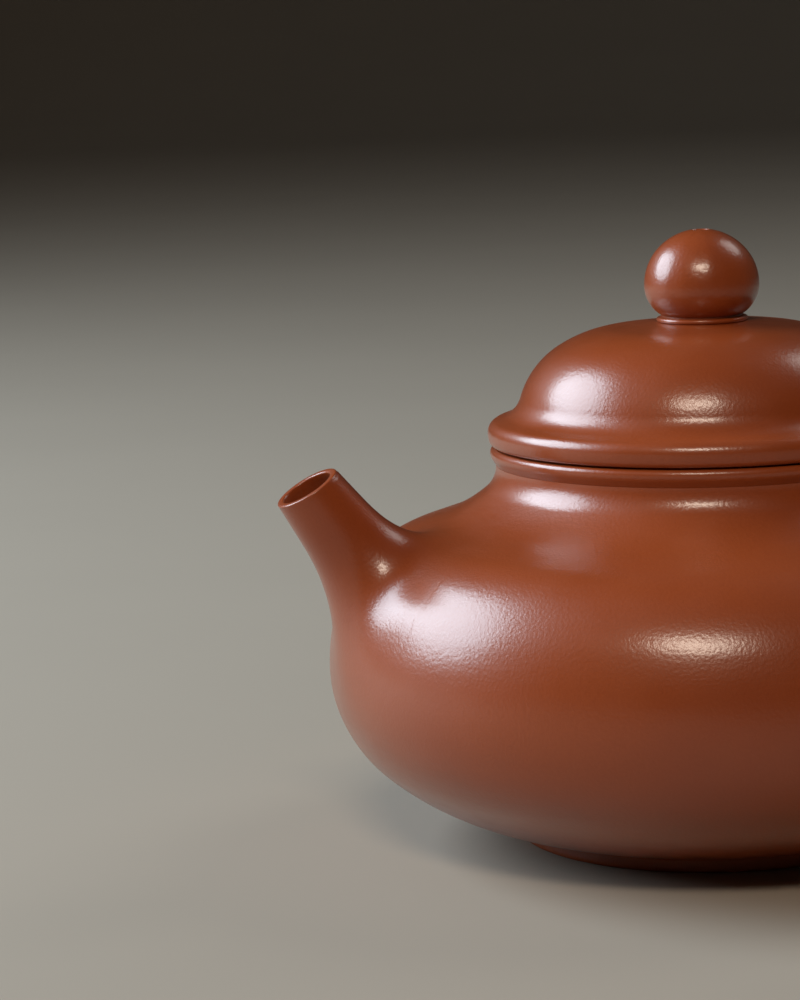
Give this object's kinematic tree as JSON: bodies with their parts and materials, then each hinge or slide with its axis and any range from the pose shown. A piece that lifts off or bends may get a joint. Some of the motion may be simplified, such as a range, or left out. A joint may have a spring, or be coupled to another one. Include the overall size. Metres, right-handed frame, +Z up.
{
  "type": "yixing clay teapot",
  "caption": "Squat round unglazed clay teapot with a short flared spout, an ear handle and a domed lid with a ball knob that lifts out of the mouth.",
  "frame": {"origin": "centre of the foot ring's resting face, on the pot's axis", "axes": "+Z up the pot's axis, -X towards the spout, +X towards the handle"},
  "size_m": [0.138, 0.1068, 0.0845],
  "materials": {
    "burnished_clay": "unglazed red-brown clay, burnished to a soft gloss over a fine sandy grain",
    "plain_clay": "the same clay left as fired, fine sandy and matt, on the inside and underneath"
  },
  "bodies": {
    "pot": {"base_disc": "plain_clay", "foot_ring": "plain_clay", "belly_wall": "burnished_clay", "shoulder_disc": "burnished_clay", "neck_ring": "burnished_clay", "mouth_lip": "burnished_clay", "spout": "burnished_clay", "strainer": "plain_clay", "handle": "burnished_clay"},
    "lid": {"lid_rim": "burnished_clay", "lid_dome": "burnished_clay", "lid_flange": "plain_clay", "knob_collar": "burnished_clay", "knob": "burnished_clay"}
  },
  "joints": [
    {"name": "lid_lift", "type": "slide", "parent": "pot", "child": "lid", "axis": [0, 0, 1], "range_m": [0, 0.06]}
  ]
}
